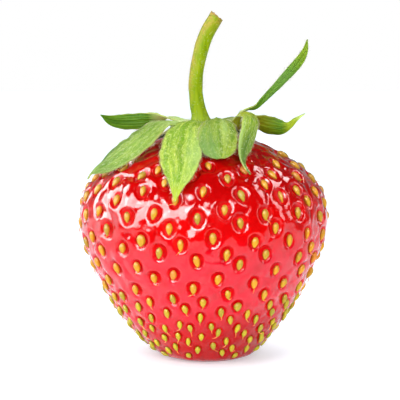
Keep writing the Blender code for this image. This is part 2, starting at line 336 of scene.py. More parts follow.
def flesh_finish():
    """Wet red skin: glossy between the pits, clear deep red inside them. Painted shade darkens it just under
    the cap, where its coat is also duller, on the upper right shoulder, in the dips of its ripples, low on
    the front right and towards the foot; its bluish band on the lower half is partly a painted reflection of
    the floor.
    """
    f = Finish("flesh_skin", IOR=1.45, Coat_Roughness=0.06, Coat_IOR=1.5, Specular_IOR_Level=0.15,
               Subsurface_Weight=0.18, Subsurface_Scale=0.0008)
    f.shader.inputs["Subsurface Radius"].default_value = (1.0, 0.12, 0.08)
    pit = f.attribute("pit")
    height = f.attribute("height")
    # deep: painted shade low on the front right of the fruit, darker and less glossy there
    deep = f.attribute("deep")
    cloud = f.noise(6.0, 3.0, 0.55)
    fleck = f.noise(0.45, 2.0, 0.6)
    # painted shade under the cap: the skin just below it is darkened, and its coat thinned
    under_cap_shade = height.between(29.8, 30.8)
    # painted shade: foot darkens the skin, and the pits in it, towards the floor
    foot = 1.0 - height.between(0.0, 9.0)
    # partly painted reflection: a darker red band on the lower half whose bluish tint stands in for the
    # floor's bluish reflection
    reflection_tint_belt = height.between(3.0, 7.0) * (1.0 - height.between(15.0, 20.0))
    red = f.layers(
        (0.78, 0.0012, 0.0012),
        (cloud.between(0.35, 0.7), (0.64, 0.0012, 0.0022)),
        (fleck.between(0.55, 0.85) * 0.25, (0.84, 0.010, 0.006)),
        # painted shade just under the cap
        (under_cap_shade * 0.6, (0.48, 0.006, 0.006)),
        # painted shade on the upper shoulder, deepest on the front right
        (f.attribute("painted_shade_shoulder") * 0.95, (0.50, 0.0008, 0.0010)),
        # bluish band, partly a painted reflection of the floor
        (reflection_tint_belt * 0.9, (0.69, 0.0040, 0.0200)),
        # painted shade towards the foot
        (foot * 0.9, (0.36, 0.001, 0.002)),
        # painted shade low on the front right
        (deep * 0.75, (0.34, 0.0006, 0.0010)),
        # painted shade in the dips of the skin's ripples
        (f.attribute("painted_crease_shade") * 0.4, (0.50, 0.0006, 0.0014)),
        # pits: a clearer red, darkened towards the foot by painted shade
        (pit * 0.9, f.mix(foot * 0.8, (0.76, 0.0004, 0.0004), (0.50, 0.0004, 0.0004))),
    )
    film = f.noise(1.5, 3.0, 0.6).between(0.3, 0.7)
    dust = f.noise(0.28, 2.0, 0.7).between(0.5, 0.8)
    grain = f.noise(0.15, 2.0, 0.6)
    lumps = f.noise(0.8, 2.0, 0.5)
    normal = f.bump(grain, 0.020, 0.5)
    normal = f.bump(lumps, 0.09, 0.5, normal)
    return f.finish(
        Base_Color=red,
        Roughness=0.10 + fleck * 0.08 + pit * 0.4,
        Coat_Weight=(1.0 - pit.between(0.15, 0.9)) * (1.0 - under_cap_shade * 0.7) * (0.55 + film * 0.45)
        * (1.0 - dust * 0.3) * (0.30 + height.between(1.5, 10.0) * 0.70) * (1.0 - deep * 0.45),
        Normal=normal,
    )


def seed_finish():
    """Golden seeds near the cap, yellow-green ones near the foot, with painted shade darkening them towards
    their rims and their right side.
    """
    f = Finish("seed_coat", IOR=1.45, Coat_Roughness=0.12, Specular_IOR_Level=0.2)
    ripe = f.attribute("ripe")
    grain = f.noise(0.25, 3.0, 0.6)
    upper = f.attribute("up_seed").between(0.25, 1.0)
    colour = f.layers(
        (0.51, 0.45, 0.010),
        (ripe, (0.79, 0.35, 0.010)),
        (upper * (0.15 + ripe * 0.35), (0.60, 0.20, 0.010)),
        (f.attribute("reddened"), (0.74, 0.17, 0.03)),
        (f.attribute("olive"), (0.30, 0.27, 0.025)),
        (grain.between(0.5, 0.8) * 0.4, (0.84, 0.58, 0.05)),
        # painted shade: darker towards the seed's rim, where it sinks into its pit, and on its right side
        (f.attribute("edge").between(0.4, 1.0) * 0.75,
         f.mix(ripe, (0.27, 0.30, 0.012), (0.48, 0.20, 0.006))),
    )
    return f.finish(
        Base_Color=colour,
        Roughness=0.36 + grain * 0.2,
        Coat_Weight=0.15,
        Normal=f.bump(grain, 0.03, 0.6),
    )


def style_finish():
    """Dried styles: amber at the seed, redder at the loose end."""
    f = Finish("dried_style", IOR=1.45)
    colour = f.mix(f.attribute("along"), (0.95, 0.40, 0.05), (0.80, 0.14, 0.02))
    return f.finish(Base_Color=colour, Roughness=0.4)


def leaf_finish(name, light, dark, rib, roughness,
                speck=(0.78, 0.86, 0.42), specks=0.6, shine=0.12, grain=1.0):
    """A leaf face: fine mottled grain and pale specks along it, veins, a darker middle rib and tan edges.

    The piece's attributes cool, tone, yellow, pale and brown tint it where they are above 0.
    """
    f = Finish(name, IOR=1.42, Specular_IOR_Level=shine)
    uv = f.node("UVMap").outputs[0]
    parts = f.node("SeparateXYZ", None, {0: uv})
    along = Value(f, parts.outputs[0])
    across = Value(f, parts.outputs[1])
    off = (across - 0.5).math("ABSOLUTE") * 2.0

    def streaks(lengthwise, crosswise, detail, rough, distortion):
        stretched = f.node("Mapping", None, {"Vector": uv, "Scale": (lengthwise, crosswise, 1.0)})
        made = f.node("TexNoise", None, {
            "Vector": stretched.outputs[0], "Scale": 1.0, "Detail": detail, "Roughness": rough,
            "Distortion": distortion})
        return Value(f, made.outputs[0])

    fibre = streaks(44.0, 34.0, 3.0, 0.75, 1.0)
    patch = streaks(13.0, 8.0, 2.0, 0.6, 0.8)
    broad = streaks(3.0, 7.0, 3.0, 0.55, 0.6)
    veins = ((off * 3.3 + broad * 0.8) * math.tau).math("SINE")
    middle = 1.0 - off.between(0.0, 0.15)
    colour = f.layers(
        dark,
        (broad.between(0.3, 0.72) * 0.7 + fibre.between(0.35, 0.7) * 0.3, light),
        (veins.between(0.55, 1.0) * 0.3, light),
        (veins.between(-0.6, -1.0) * 0.3, dark),
        (fibre.between(0.53, 0.68) * specks, speck),
        (fibre.between(0.46, 0.30) * 0.85 * grain, dark),
        (patch.between(0.48, 0.34) * 0.55 * grain, dark),
        (middle * (1.0 - along.between(0.35, 0.95)) * 0.55, rib),
        (off.between(0.88, 1.0) * 0.5, (0.66, 0.58, 0.18)),
        (f.attribute("cool"), (0.15, 0.31, 0.06)),
        (f.attribute("tone"), (0.045, 0.14, 0.004)),
        (f.attribute("yellow"), (0.56, 0.68, 0.03)),
        (f.attribute("pale"), (0.64, 0.88, 0.28)),
        (f.attribute("brown") * (0.6 + broad.between(0.3, 0.7) * 0.4), (0.26, 0.21, 0.004)),
    )
    normal = f.bump(fibre, 0.09 * grain, 0.6)
    normal = f.bump(veins, 0.02, 0.5, normal)
    return f.finish(Base_Color=colour, Roughness=roughness + fibre * 0.15, Normal=normal)


def plain_finish(name, light, dark, size, roughness):
    """A softly clouded finish between two colours."""
    f = Finish(name, IOR=1.42, Specular_IOR_Level=0.4)
    cloud = f.noise(size, 3.0, 0.6)
    colour = f.mix(cloud.between(0.3, 0.7), dark, light)
    return f.finish(Base_Color=colour, Roughness=roughness + cloud * 0.1, Normal=f.bump(cloud, 0.05, 0.5))


def stem_finish():
    """Yellow-green stalk, tan along its left side, brown at the cut."""
    f = Finish("stalk_skin", IOR=1.45, Specular_IOR_Level=0.06)
    streak = f.noise(0.4, 3.0, 0.6, stretch=(1.0, 1.0, 0.15))
    fleck = f.noise(0.6, 3.0, 0.6)
    patch = f.noise(1.3, 2.0, 0.6)
    colour = f.layers(
        (0.20, 0.32, 0.001),
        (streak.between(0.3, 0.7), (0.31, 0.42, 0.003)),
        (patch.between(0.5, 0.7) * 0.5, (0.36, 0.40, 0.010)),
        (f.attribute("tan_side") * fleck.between(0.3, 0.62) * 0.85, (0.50, 0.37, 0.05)),
        (f.attribute("browned") * fleck.between(0.25, 0.6), (0.34, 0.17, 0.05)),
    )
    return f.finish(Base_Color=colour, Roughness=0.42 + fleck * 0.12, Normal=f.bump(streak, 0.08, 0.6))


# ---------------------------------------------------------------- mesh helpers


def deselect():
    """Leave edit mode and select nothing."""
    if bpy.context.object and bpy.context.object.mode != "OBJECT":
        bpy.ops.object.mode_set(mode="OBJECT")
    bpy.ops.object.select_all(action="DESELECT")


def added(name):
    """The primitive just added, named."""
    made = bpy.context.object
    made.name = name
    made.data.name = name
    return made


def points_of(mesh):
    """The mesh's points, one a row."""
    co = np.empty(len(mesh.vertices) * 3, np.float32)
    mesh.vertices.foreach_get("co", co)
    return co.reshape(-1, 3).astype(float)


def set_points(mesh, co):
    """Move the mesh's points to these."""
    mesh.vertices.foreach_set("co", np.asarray(co, np.float32).ravel())
    mesh.update()


def set_attribute(mesh, name, values):
    """Keep a number on each of the mesh's points, for its finish."""
    mesh.attributes.new(name, "FLOAT", "POINT").data.foreach_set("value", np.asarray(values, np.float32))


def keep(obj, node=None):
    """Hand a finished piece to the frame: the CAD node it stands for, if any."""
    if node:
        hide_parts(node)
    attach(obj, "root")


LAID_ALONG_Y = (-math.pi / 2, 0, 0)


def rolled():
    """The primitive just added, with its turn put into its mesh."""
    bpy.ops.object.transform_apply(location=False, rotation=True, scale=False)
    return bpy.context.object


def cut_across(mesh, places):
    """Cut a small mesh across at the given places along Y."""
    bm = bmesh.new()
    bm.from_mesh(mesh)
    for place in places:
        bmesh.ops.bisect_plane(bm, geom=bm.verts[:] + bm.edges[:] + bm.faces[:],
                               plane_co=(0, place, 0), plane_no=(0, 1, 0), dist=1e-5)
    bm.to_mesh(mesh)
    bm.free()


def strewn(name, template, places, material, numbers=None):
    """One piece of many copies of a small mesh: places are 4x4 matrices, numbers are attributes per copy."""
    base = points_of(template)
    faces = [list(p.vertices) for p in template.polygons]
    shared = {a.name: np.array([d.value for d in a.data])
              for a in template.attributes if a.data_type == "FLOAT" and a.domain == "POINT"}
    places = np.array(places)
    co = np.einsum("nij,vj->nvi", places[:, :3, :3], base) + places[:, None, :3, 3]
    count = len(base)
    mesh = bpy.data.meshes.new(name)
    mesh.from_pydata(co.reshape(-1, 3).tolist(), [],
                     [[v + k * count for v in face] for k in range(len(places)) for face in faces])
    for key, values in shared.items():
        set_attribute(mesh, key, np.tile(values, len(places)))
    for key, values in (numbers or {}).items():
        set_attribute(mesh, key, np.repeat(values, count))
    mesh.shade_smooth()
    mesh.materials.append(material)
    obj = bpy.data.objects.new(name, mesh)
    bpy.context.scene.collection.objects.link(obj)
    return obj


def place_matrix(side, up, out, centre, scale):
    """A 4x4 that takes x to side, y to up and z to out, in metres from mm."""
    made = np.eye(4)
    made[:3, 0] = np.asarray(side) * scale[0] * MM
    made[:3, 1] = np.asarray(up) * scale[1] * MM
    made[:3, 2] = np.asarray(out) * scale[2] * MM
    made[:3, 3] = np.asarray(centre) * MM
    return made


# ---------------------------------------------------------------- flesh


SKIN_SHOWING = (30.4, 0.02)     # heights between which the skin is seen and gets most of its rings
SKIN_SUNK = 0.14                # the whole skin lies this far inside the outline, so that its swells fit
PIT_FLOOR = 0.70                # a pit is flat to here and ends at its edge, both against its half size
PIT_EDGE = 1.16
SEED_REACH = 4.2                # no seed changes the skin farther away than this


def waves(points, size, seed):
    """Gentle undulation, mostly between -1 and 1, with about the given wavelength."""
    rng = random.Random(seed)
    total = np.zeros(len(points))
    for _ in range(9):
        way = np.array([rng.gauss(0, 1) for _ in range(3)])
        way *= math.tau / size / np.linalg.norm(way) * rng.uniform(0.7, 1.3)
        total += np.sin(points @ way + rng.uniform(0, math.tau))
    return total / 4.0


def make_flesh():
    """The skin: a sphere drawn out to the outline, sunk at every seed, with swells, creases and ripples."""
    deselect()
    bpy.ops.mesh.primitive_uv_sphere_add(segments=SKIN_SIDES, ring_count=SKIN_RINGS, radius=1.0)
    skin = added("flesh_skin")
    co = points_of(skin.data)
    angle = np.arctan2(co[:, 1], co[:, 0])
    down = np.arccos(np.clip(co[:, 2] / np.linalg.norm(co, axis=1), -1, 1)) / math.pi
    showing = np.interp(SKIN_SHOWING, LINE_Z[::-1], LINE_S[::-1])
    reach = np.interp(down, [0.0, 0.05, 0.955, 1.0], [0.0, *showing, LINE_S[-1]])
    radius = np.interp(reach, LINE_S, LINE_R)
    height = np.interp(reach, LINE_S, LINE_Z)
    smooth = flesh_place(radius, angle, height)

    above, below = (
        flesh_place(np.interp(at, LINE_S, LINE_R), angle, np.interp(at, LINE_S, LINE_Z))
        for at in (np.maximum(reach - 0.1, 0), np.minimum(reach + 0.1, LINE_S[-1])))
    left, right = (flesh_place(radius + 0.01, angle + turn, height) for turn in (-0.01, 0.01))
    out = unit(np.cross(right - left, above - below))
    foot = height < 1e-3
    out[foot] = (0.0, 0.0, -1.0)
    out[down < 0.02] = (0.0, 0.0, 1.0)

    nearest = np.full(len(co), SEED_REACH)
    sink = np.zeros(len(co))
    pit = np.zeros(len(co))
    for seed in SEEDS:
        away = smooth - seed["centre"]
        close = np.abs(away).max(axis=1) < SEED_REACH
        local = away[close]
        x = local @ seed["side"]
        y = local @ seed["up"]
        z = local @ seed["out"]
        half_width, half_length, depth = pit_size(seed)
        wide = half_width * (1.0 + 0.12 * np.clip(y / half_length, -1, 1))
        q = np.sqrt((x / wide) ** 2 + (y / half_length) ** 2 + (z / 1.5) ** 2)
        reached = np.sqrt(x * x + y * y + z * z)
        nearest[close] = np.minimum(nearest[close], reached)
        step = eased(fall(q, PIT_FLOOR, PIT_EDGE))
        sink[close] = np.maximum(sink[close], depth * (0.85 + 0.3 * seed["dice"][2]) * step)
        pit[close] = np.maximum(pit[close], step)
    share = rise(height, CROWDED_BELOW, SPREAD_ABOVE)
    fade = rise(height, 0.0, 2.0) * fall(height, 29.8, 31.3)
    dimple = near(nearest, 1.3 + 1.1 * share) ** 2
    x, y, z = smooth.T
    folds = clouds(x * 0.30, y * 0.30, z * 0.13)
    creases = near(clouds(x * 0.21 + 7, y * 0.21, z * 0.16), 0.2) ** 2
    swells = waves(smooth, 3.4, 5)
    ripples = 0.065 * waves(smooth, 2.1, 11) + (0.030 - 0.006 * share) * waves(smooth, 0.95, 13)
    lift = (0.18 * folds - 0.16 * creases * share + 0.07 * swells + ripples - SKIN_SUNK) * fade
    lift -= sink + (0.16 - 0.08 * share) * dimple
    lift *= np.where(foot, 0.0, 1.0) * rise(height, 0.0, 0.4)
    set_points(skin.data, (smooth + out * lift[:, None]) * MM)
    for name, values in {
        "pit": pit,
        "height": height,
        # painted shade mask: the dips of the ripples, outside the pits
        "painted_crease_shade": rise(-ripples, 0.0, 0.06) * (1.0 - pit),
        # deep: painted shade mask, low on the front right side
        "deep": fall(height, 5.0, 10.0) * np.clip(np.cos(angle + 0.65) * 1.3 - 0.2, 0.0, 1.0),
        # painted shade mask: the upper flesh, most on the front right, away from the light
        "painted_shade_shoulder": rise(height, 19.0, 27.0) * (0.55 + 0.45 * np.cos(angle + 0.7)),
    }.items():
        set_attribute(skin.data, name, values)
    skin.data.shade_smooth()
    skin.data.materials.append(flesh_finish())
    keep(skin, "flesh")


LOWEST_SEEDS = 1.6              # seeds up to this height tuck their tips in, clear of the floor
STYLES_FROM = 2.4               # no styles below this height, many up to the next, fewer above it
STYLES_MANY = 14.0
STYLES_LOW = 0.7                # share of the seeds that keep their style, low down and high up
STYLES_HIGH = 0.3


def make_seeds():
    """The seeds: one teardrop, plump at the top and pointed below, copied to every pit."""
    deselect()
    bpy.ops.mesh.primitive_uv_sphere_add(segments=8, ring_count=7, radius=1.0, rotation=LAID_ALONG_Y)
    drop = rolled()
    co = points_of(drop.data)
    t = co[:, 1]
    narrow = np.where(t < 0, 1.0 + 0.42 * t, 1.0 + 0.02 * t)
    co[:, 0] *= narrow
    co[:, 2] *= narrow * np.where(co[:, 2] > 0, 1.0, 0.8)
    co[:, 1] = np.where(t < 0, t * 1.04, t * 0.96)
    set_points(drop.data, co)
    set_attribute(drop.data, "up_seed", co[:, 1] * 0.5 + 0.5)
    # edge: painted shade mask, rising towards the seed's underside and rim and to its right side
    set_attribute(drop.data, "edge", np.clip(1.0 - co[:, 2] + 0.15 * co[:, 0], 0, 1))
    places, ripe, red, olive = [], [], [], []
    for seed in SEEDS:
        length, width, thick = seed_size(seed)
        depth = pit_size(seed)[2]
        lean = (seed["dice"][3] - 0.5) * 0.16 - 0.2 * (1.0 - seed["share"])
        if seed["height"] <= LOWEST_SEEDS:
            lean = 0.12
        up = unit(seed["up"] + seed["out"] * lean)
        out = np.cross(seed["side"], up)
        centre = seed["centre"] - seed["out"] * (0.08 + 0.34 * depth)
        places.append(place_matrix(seed["side"], up, out, centre, (width / 2, length / 2, thick / 2)))
        ripe.append(np.clip(seed["share"] * 1.1 - 0.1 + (seed["dice"][4] - 0.5) * 0.5, 0, 1))
        red.append(0.6 if seed["dice"][5] > 0.92 and seed["share"] > 0.4 else 0.0)
        olive.append(0.75 * seed["dice"][2] ** 2)
    keep(strewn("seeds", drop.data, places, seed_finish(), {"ripe": ripe, "reddened": red, "olive": olive}))
    bpy.data.objects.remove(drop)


def make_styles():
    """The dried styles: short bent threads under the seeds' tips, most of them on the lower half."""
    deselect()
    bpy.ops.mesh.primitive_cylinder_add(vertices=4, radius=1.0, depth=2.0, end_fill_type="NGON",
                                        rotation=LAID_ALONG_Y)
    thread = rolled()
    cut_across(thread.data, (-0.4, 0.3))
    co = points_of(thread.data)
    t = (1.0 - co[:, 1]) / 2.0
    co[:, 0] = co[:, 0] * (1.0 - 0.5 * t) + 3.0 * t * t
    co[:, 2] = co[:, 2] * (1.0 - 0.5 * t) + 2.5 * np.sin(t * 2.5)
    set_points(thread.data, co)
    set_attribute(thread.data, "along", t)
    rng = random.Random(33)
    places = []
    for seed in SEEDS:
        chance = STYLES_LOW if seed["height"] < STYLES_MANY else STYLES_HIGH
        if rng.random() > chance or seed["height"] < STYLES_FROM:
            continue
        turn = rng.gauss(0.0, 0.9)
        down = -seed["up"] * math.cos(turn) + seed["side"] * math.sin(turn)
        side = np.cross(-down, seed["out"])
        length = rng.uniform(0.3, 0.9)
        start = seed["centre"] - seed["up"] * (seed_size(seed)[0] * 0.46) + seed["out"] * -0.05
        centre = start + down * length / 2
        thick = rng.uniform(0.05, 0.085)
        places.append(place_matrix(side * rng.choice((-1, 1)), -down, seed["out"], centre,
                                   (thick, length / 2, thick)))
    keep(strewn("styles", thread.data, places, style_finish()))
    bpy.data.objects.remove(thread)


# ---------------------------------------------------------------- leaves of the cap

# Each leaf: the CAD node it stands for, the finish of its outer face, how lumpy it is (bumps), how far
# its edges lift (cup), how sharply it is folded along its rib (fold) and the wave of its edge (ripple).
# Then its tints, as numbers or by the place: u runs from its root, 0, to its tip, 1, and v across it from
# -1 to 1.  Last its spine from inside the disc to its tip: x, y, z and half its width in mm, and its turn
# about the spine in degrees.
LEAVES = {
    "leaf_front": dict(
        node="sepal_front", face="bright", bumps=0.7, cup=-0.4, fold=-0.3, ripple=0.12,
        tone=lambda u, v: 0.35 * near(v + 0.05, 0.16) * near(u - 0.45, 0.3),
        pale=lambda u, v: 0.5 * rise(v, 0.1, 0.5) * near(u - 0.55, 0.4),
        yellow=lambda u, v: 0.8 * rise(u, 0.84, 0.95),
        spine=[
            (-1.5, -1.9, 33.3, 1.6, 0), (-2.3, -3.6, 33.3, 2.0, 0), (-2.9, -5.2, 32.7, 2.45, 0),
            (-3.2, -6.9, 31.7, 2.75, 0), (-3.4, -9.0, 30.4, 2.9, 0), (-3.4, -10.8, 29.4, 2.75, 0),
            (-3.4, -12.3, 28.4, 2.4, 0), (-3.5, -13.9, 27.2, 1.75, 0), (-3.8, -15.2, 25.8, 0.85, 0),
            (-4.0, -16.0, 24.1, 0.06, 0)]),
    "leaf_front_right": dict(
        node="sepal_front_right", face="smooth", bumps=0.5, cup=-0.25, fold=-0.75, ripple=0.03,
        tone=lambda u, v: 0.3 * near(v + 0.35, 0.4) * near(u - 0.5, 0.35),
        cool=lambda u, v: 0.75 * rise(u, 0.35, 0.75) * fall(v, -0.3, 0.1),
        pale=lambda u, v: 0.55 * near(v - 0.35, 0.3) * near(u - 0.5, 0.4),
        spine=[
            (0.9, -1.6, 33.0, 1.2, 0), (1.35, -3.2, 33.6, 1.5, 0), (1.6, -5.0, 34.0, 1.95, 0),
            (1.7, -6.5, 33.5, 2.4, 0), (1.7, -7.8, 32.5, 2.65, 0), (1.8, -9.2, 31.3, 2.5, 0),
            (1.95, -10.2, 30.4, 2.1, 0), (2.05, -10.9, 29.7, 1.35, 0), (2.1, -11.2, 29.3, 0.6, 0)]),
    "leaf_folded": dict(
        node="sepal_folded", face="smooth", bumps=0.6, cup=-0.15, fold=-0.25, ripple=0.06,
        tone=lambda u, v: 0.6 * near(v + 0.1, 0.6) * rise(u, 0.4, 0.6),
        cool=lambda u, v: 0.5 * rise(u, 0.45, 0.7),
        yellow=lambda u, v: 0.8 * fall(u, 0.3, 0.42),
        pale=lambda u, v: 0.5 * fall(v, -0.8, -0.5) * rise(u, 0.4, 0.6),
        brown=lambda u, v: 0.55 * fall(u, 0.3, 0.42),
        spine=[
            (2.7, -1.0, 32.7, 1.1, 0), (4.3, -2.7, 32.7, 1.2, 0), (4.75, -3.7, 34.1, 1.3, 0),
            (5.5, -4.7, 34.85, 1.3, 0), (6.3, -5.7, 34.3, 1.25, 0), (6.2, -6.5, 33.1, 1.2, 0),
            (5.8, -7.6, 31.7, 1.15, 0), (5.4, -9.0, 30.6, 0.95, 0), (5.1, -10.3, 29.6, 0.6, 0),
            (5.2, -11.6, 28.6, 0.3, 0), (6.0, -13.0, 27.3, 0.05, 0)]),
    "leaf_upright": dict(
        node="sepal_upright", bumps=0.2, cup=0.1, fold=0.12, ripple=0.03,
        cool=lambda u, v: 0.5 * near(u - 0.6, 0.25),
        yellow=lambda u, v: 0.25 * rise(u, 0.7, 0.9),
        spine=[
            (2.6, -0.4, 32.9, 1.0, 0), (4.3, -0.5, 33.4, 0.9, 0), (5.1, -0.4, 34.4, 0.75, 0),
            (6.1, -0.2, 34.8, 0.55, -10), (7.1, 0.0, 35.1, 0.4, -40), (7.9, 0.2, 35.9, 0.42, -75),
            (10.0, 0.6, 38.0, 0.55, -80), (11.7, 1.0, 39.8, 0.66, -80), (12.8, 1.3, 41.0, 0.68, -80),
            (13.8, 1.6, 42.5, 0.50, -80), (14.3, 2.0, 44.4, 0.05, -80)]),
    "leaf_cupped": dict(
        node="sepal_cupped", bumps=0.5, cup=0.35, fold=0.15, ripple=0.06,
        tone=lambda u, v: 0.15 * fall(u, 0.5, 0.75),
        yellow=lambda u, v: 0.55 * rise(u, 0.70, 0.78),
        pale=lambda u, v: 0.8 * rise(u, 0.86, 0.95),
        brown=lambda u, v: 0.7 * fall(u, 0.45, 0.70) * rise(u, 0.2, 0.35),
        spine=[
            (2.3, 1.5, 32.8, 1.0, 0), (4.2, 2.6, 33.0, 0.9, 0), (6.2, 3.1, 33.0, 0.95, -30),
            (8.0, 3.4, 32.4, 1.2, -65), (9.5, 3.5, 32.0, 1.3, -75), (10.9, 3.4, 31.9, 1.0, -75),
            (11.8, 3.2, 32.2, 0.52, -75), (12.7, 3.1, 33.0, 0.32, -75), (14.1, 3.0, 33.9, 0.05, -75)]),
    "leaf_left": dict(
        node="sepal_left", face="pale", bumps=0.7, cup=-0.2, fold=-0.25, ripple=0.08,
        tone=lambda u, v: 0.5 * fall(v, -0.75, -0.62) * rise(u, 0.3, 0.4) * fall(u, 0.8, 0.9)
        + 0.4 * near(u - 0.8, 0.25),
        cool=lambda u, v: 0.15 + 0.15 * rise(u, 0.6, 0.9),
        pale=lambda u, v: 0.6 * fall(u, 0.12, 0.3),
        spine=[
            (-2.8, -1.2, 32.8, 1.3, 0), (-4.5, -2.0, 33.2, 1.3, 0), (-6.2, -3.3, 33.3, 1.45, -8),
            (-7.6, -4.7, 32.4, 1.65, -16), (-9.3, -6.0, 31.0, 1.75, -22), (-11.8, -6.5, 29.2, 1.65, -24),
            (-13.6, -6.0, 27.8, 1.2, -20), (-15.1, -5.0, 26.8, 0.5, -10), (-15.7, -4.7, 26.3, 0.14, 0),
            (-16.1, -4.6, 25.6, 0.07, 0)]),
    "leaf_back_left": dict(
        node="sepal_back_left", bumps=0.6, cup=0.12, fold=0.12, ripple=0.06,
        tone=lambda u, v: 0.7 * near(v + 0.1, 0.8) * rise(u, 0.25, 0.4),
        pale=lambda u, v: 0.8 * fall(u, 0.3, 0.45),
        spine=[
            (-2.6, 0.8, 32.7, 1.3, 0), (-4.3, 1.5, 33.2, 1.25, 0), (-5.6, 2.2, 33.4, 1.2, 10),
            (-7.2, 2.9, 33.1, 1.15, 45), (-9.0, 3.4, 32.8, 1.12, 78), (-11.1, 3.5, 32.7, 1.1, 82),
            (-13.1, 3.3, 32.9, 0.75, 82), (-14.7, 3.0, 33.7, 0.05, 82)]),
    "leaf_back_a": dict(
        node="sepal_back_a", cup=-0.25, fold=-0.2, ripple=0.10, tone=0.05,
        spine=[
            (-1.7, 2.3, 32.6, 1.3, 0), (-2.9, 3.9, 32.4, 1.4, 0), (-4.0, 5.4, 31.7, 1.75, 0),
            (-5.6, 7.6, 30.3, 1.95, 0), (-7.0, 9.6, 29.0, 1.8, 0), (-8.1, 11.3, 27.4, 1.2, 0),
            (-8.8, 12.5, 25.9, 0.06, 0)]),
    "leaf_back_b": dict(
        node="sepal_back_b", cup=-0.3, fold=-0.2, ripple=0.10, cool=0.2,
        spine=[
            (-0.4, 2.5, 32.6, 1.2, 0), (-0.4, 4.4, 32.4, 1.3, 0), (-0.1, 6.1, 31.7, 1.65, 0),
            (0.3, 8.6, 30.6, 2.05, 0), (0.5, 11.0, 29.4, 1.9, 0), (0.4, 13.2, 27.8, 1.2, 0),
            (0.2, 14.8, 26.0, 0.06, 0)]),
    "leaf_back_c": dict(
        node="sepal_back_c", cup=-0.25, fold=-0.2, ripple=0.10, tone=0.1,
        spine=[
            (1.5, 2.2, 32.6, 1.1, 0), (2.6, 4.0, 32.3, 1.15, 0), (3.8, 5.5, 31.6, 1.45, 0),
            (5.5, 7.8, 30.2, 1.75, 0), (7.2, 9.7, 28.8, 1.6, 0), (8.5, 11.3, 27.2, 1.0, 0),
            (9.5, 12.4, 25.4, 0.06, 0)]),
}
LEAF_TINTS = ("tone", "cool", "yellow", "pale", "brown")
LEAF_ALONG = 96
LEAF_ACROSS = 32
LEAF_THICKNESS = 0.2
LEAF_TEETH = 0.025              # how far the edge goes in and out, against the half width
MIDRIB_RISE = 0.11              # heights and widths on the leaf's face, mm
MIDRIB_WIDTH = 0.14
RIBS_EACH_SIDE = 3.3
RIB_RISE = 0.045
LUMP_RISE = 0.12
GRAIN_RISE = 0.06


def leaf_half_width(spine):
    """Distances along the spine and the half widths there, as two smooth lists, and its whole length."""
    marks = [Vector(p[:3]) for p in spine]
    reach = [0.0]
    for a, b in zip(marks, marks[1:]):
        reach.append(reach[-1] + (b - a).length)
    line = smooth_line([(d, p[3], 0.0) for d, p in zip(reach, spine)], 8)
    return np.array([p.x for p in line]), np.array([max(p.y, 0.03) for p in line]), reach[-1]


def spine_curve(name, spine):
    """The curve that bends a leaf, through the points of its spine."""
    curve = bpy.data.curves.new(name, "CURVE")
    curve.dimensions = "3D"
    curve.twist_mode = "MINIMUM"
    curve.resolution_u = 24
    curve.use_stretch = True
    curve.use_deform_bounds = True
    curve.use_radius = False
    spline = curve.splines.new("BEZIER")
    spline.bezier_points.add(len(spine) - 1)
    for point, (x, y, z, _, turn) in zip(spline.bezier_points, spine):
        point.co = (x * MM, y * MM, z * MM)
        point.handle_left_type = "AUTO"
        point.handle_right_type = "AUTO"
        point.tilt = math.radians(turn)
    guide = bpy.data.objects.new(name, curve)
    bpy.context.scene.collection.objects.link(guide)
    return guide


